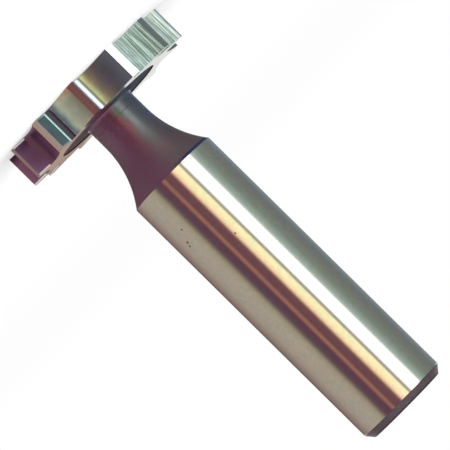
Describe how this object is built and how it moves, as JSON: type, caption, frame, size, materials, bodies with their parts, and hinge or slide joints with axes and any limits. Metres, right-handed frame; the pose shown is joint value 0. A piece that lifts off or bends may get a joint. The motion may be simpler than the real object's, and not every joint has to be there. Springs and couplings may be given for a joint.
{
  "type": "keyseat cutter",
  "caption": "One-piece straight-tooth keyseat cutter: a thin, hollow-ground toothed disc on a necked round shank, for milling half-round key slots.",
  "frame": {"origin": "on the cutter's axis, level with the front of the tooth ring, which it stands on", "axes": "+Z along the axis from the head to the end of the shank; +X through a tooth tip; the tooth faces look clockwise when seen from the shank"},
  "size_m": [0.026, 0.026, 0.0565],
  "materials": {
    "tool_steel": "ground high-speed steel, bright on the shank and teeth, dark from hardening on the neck"
  },
  "bodies": {
    "root": {"cutter_body": "tool_steel"}
  },
  "joints": []
}
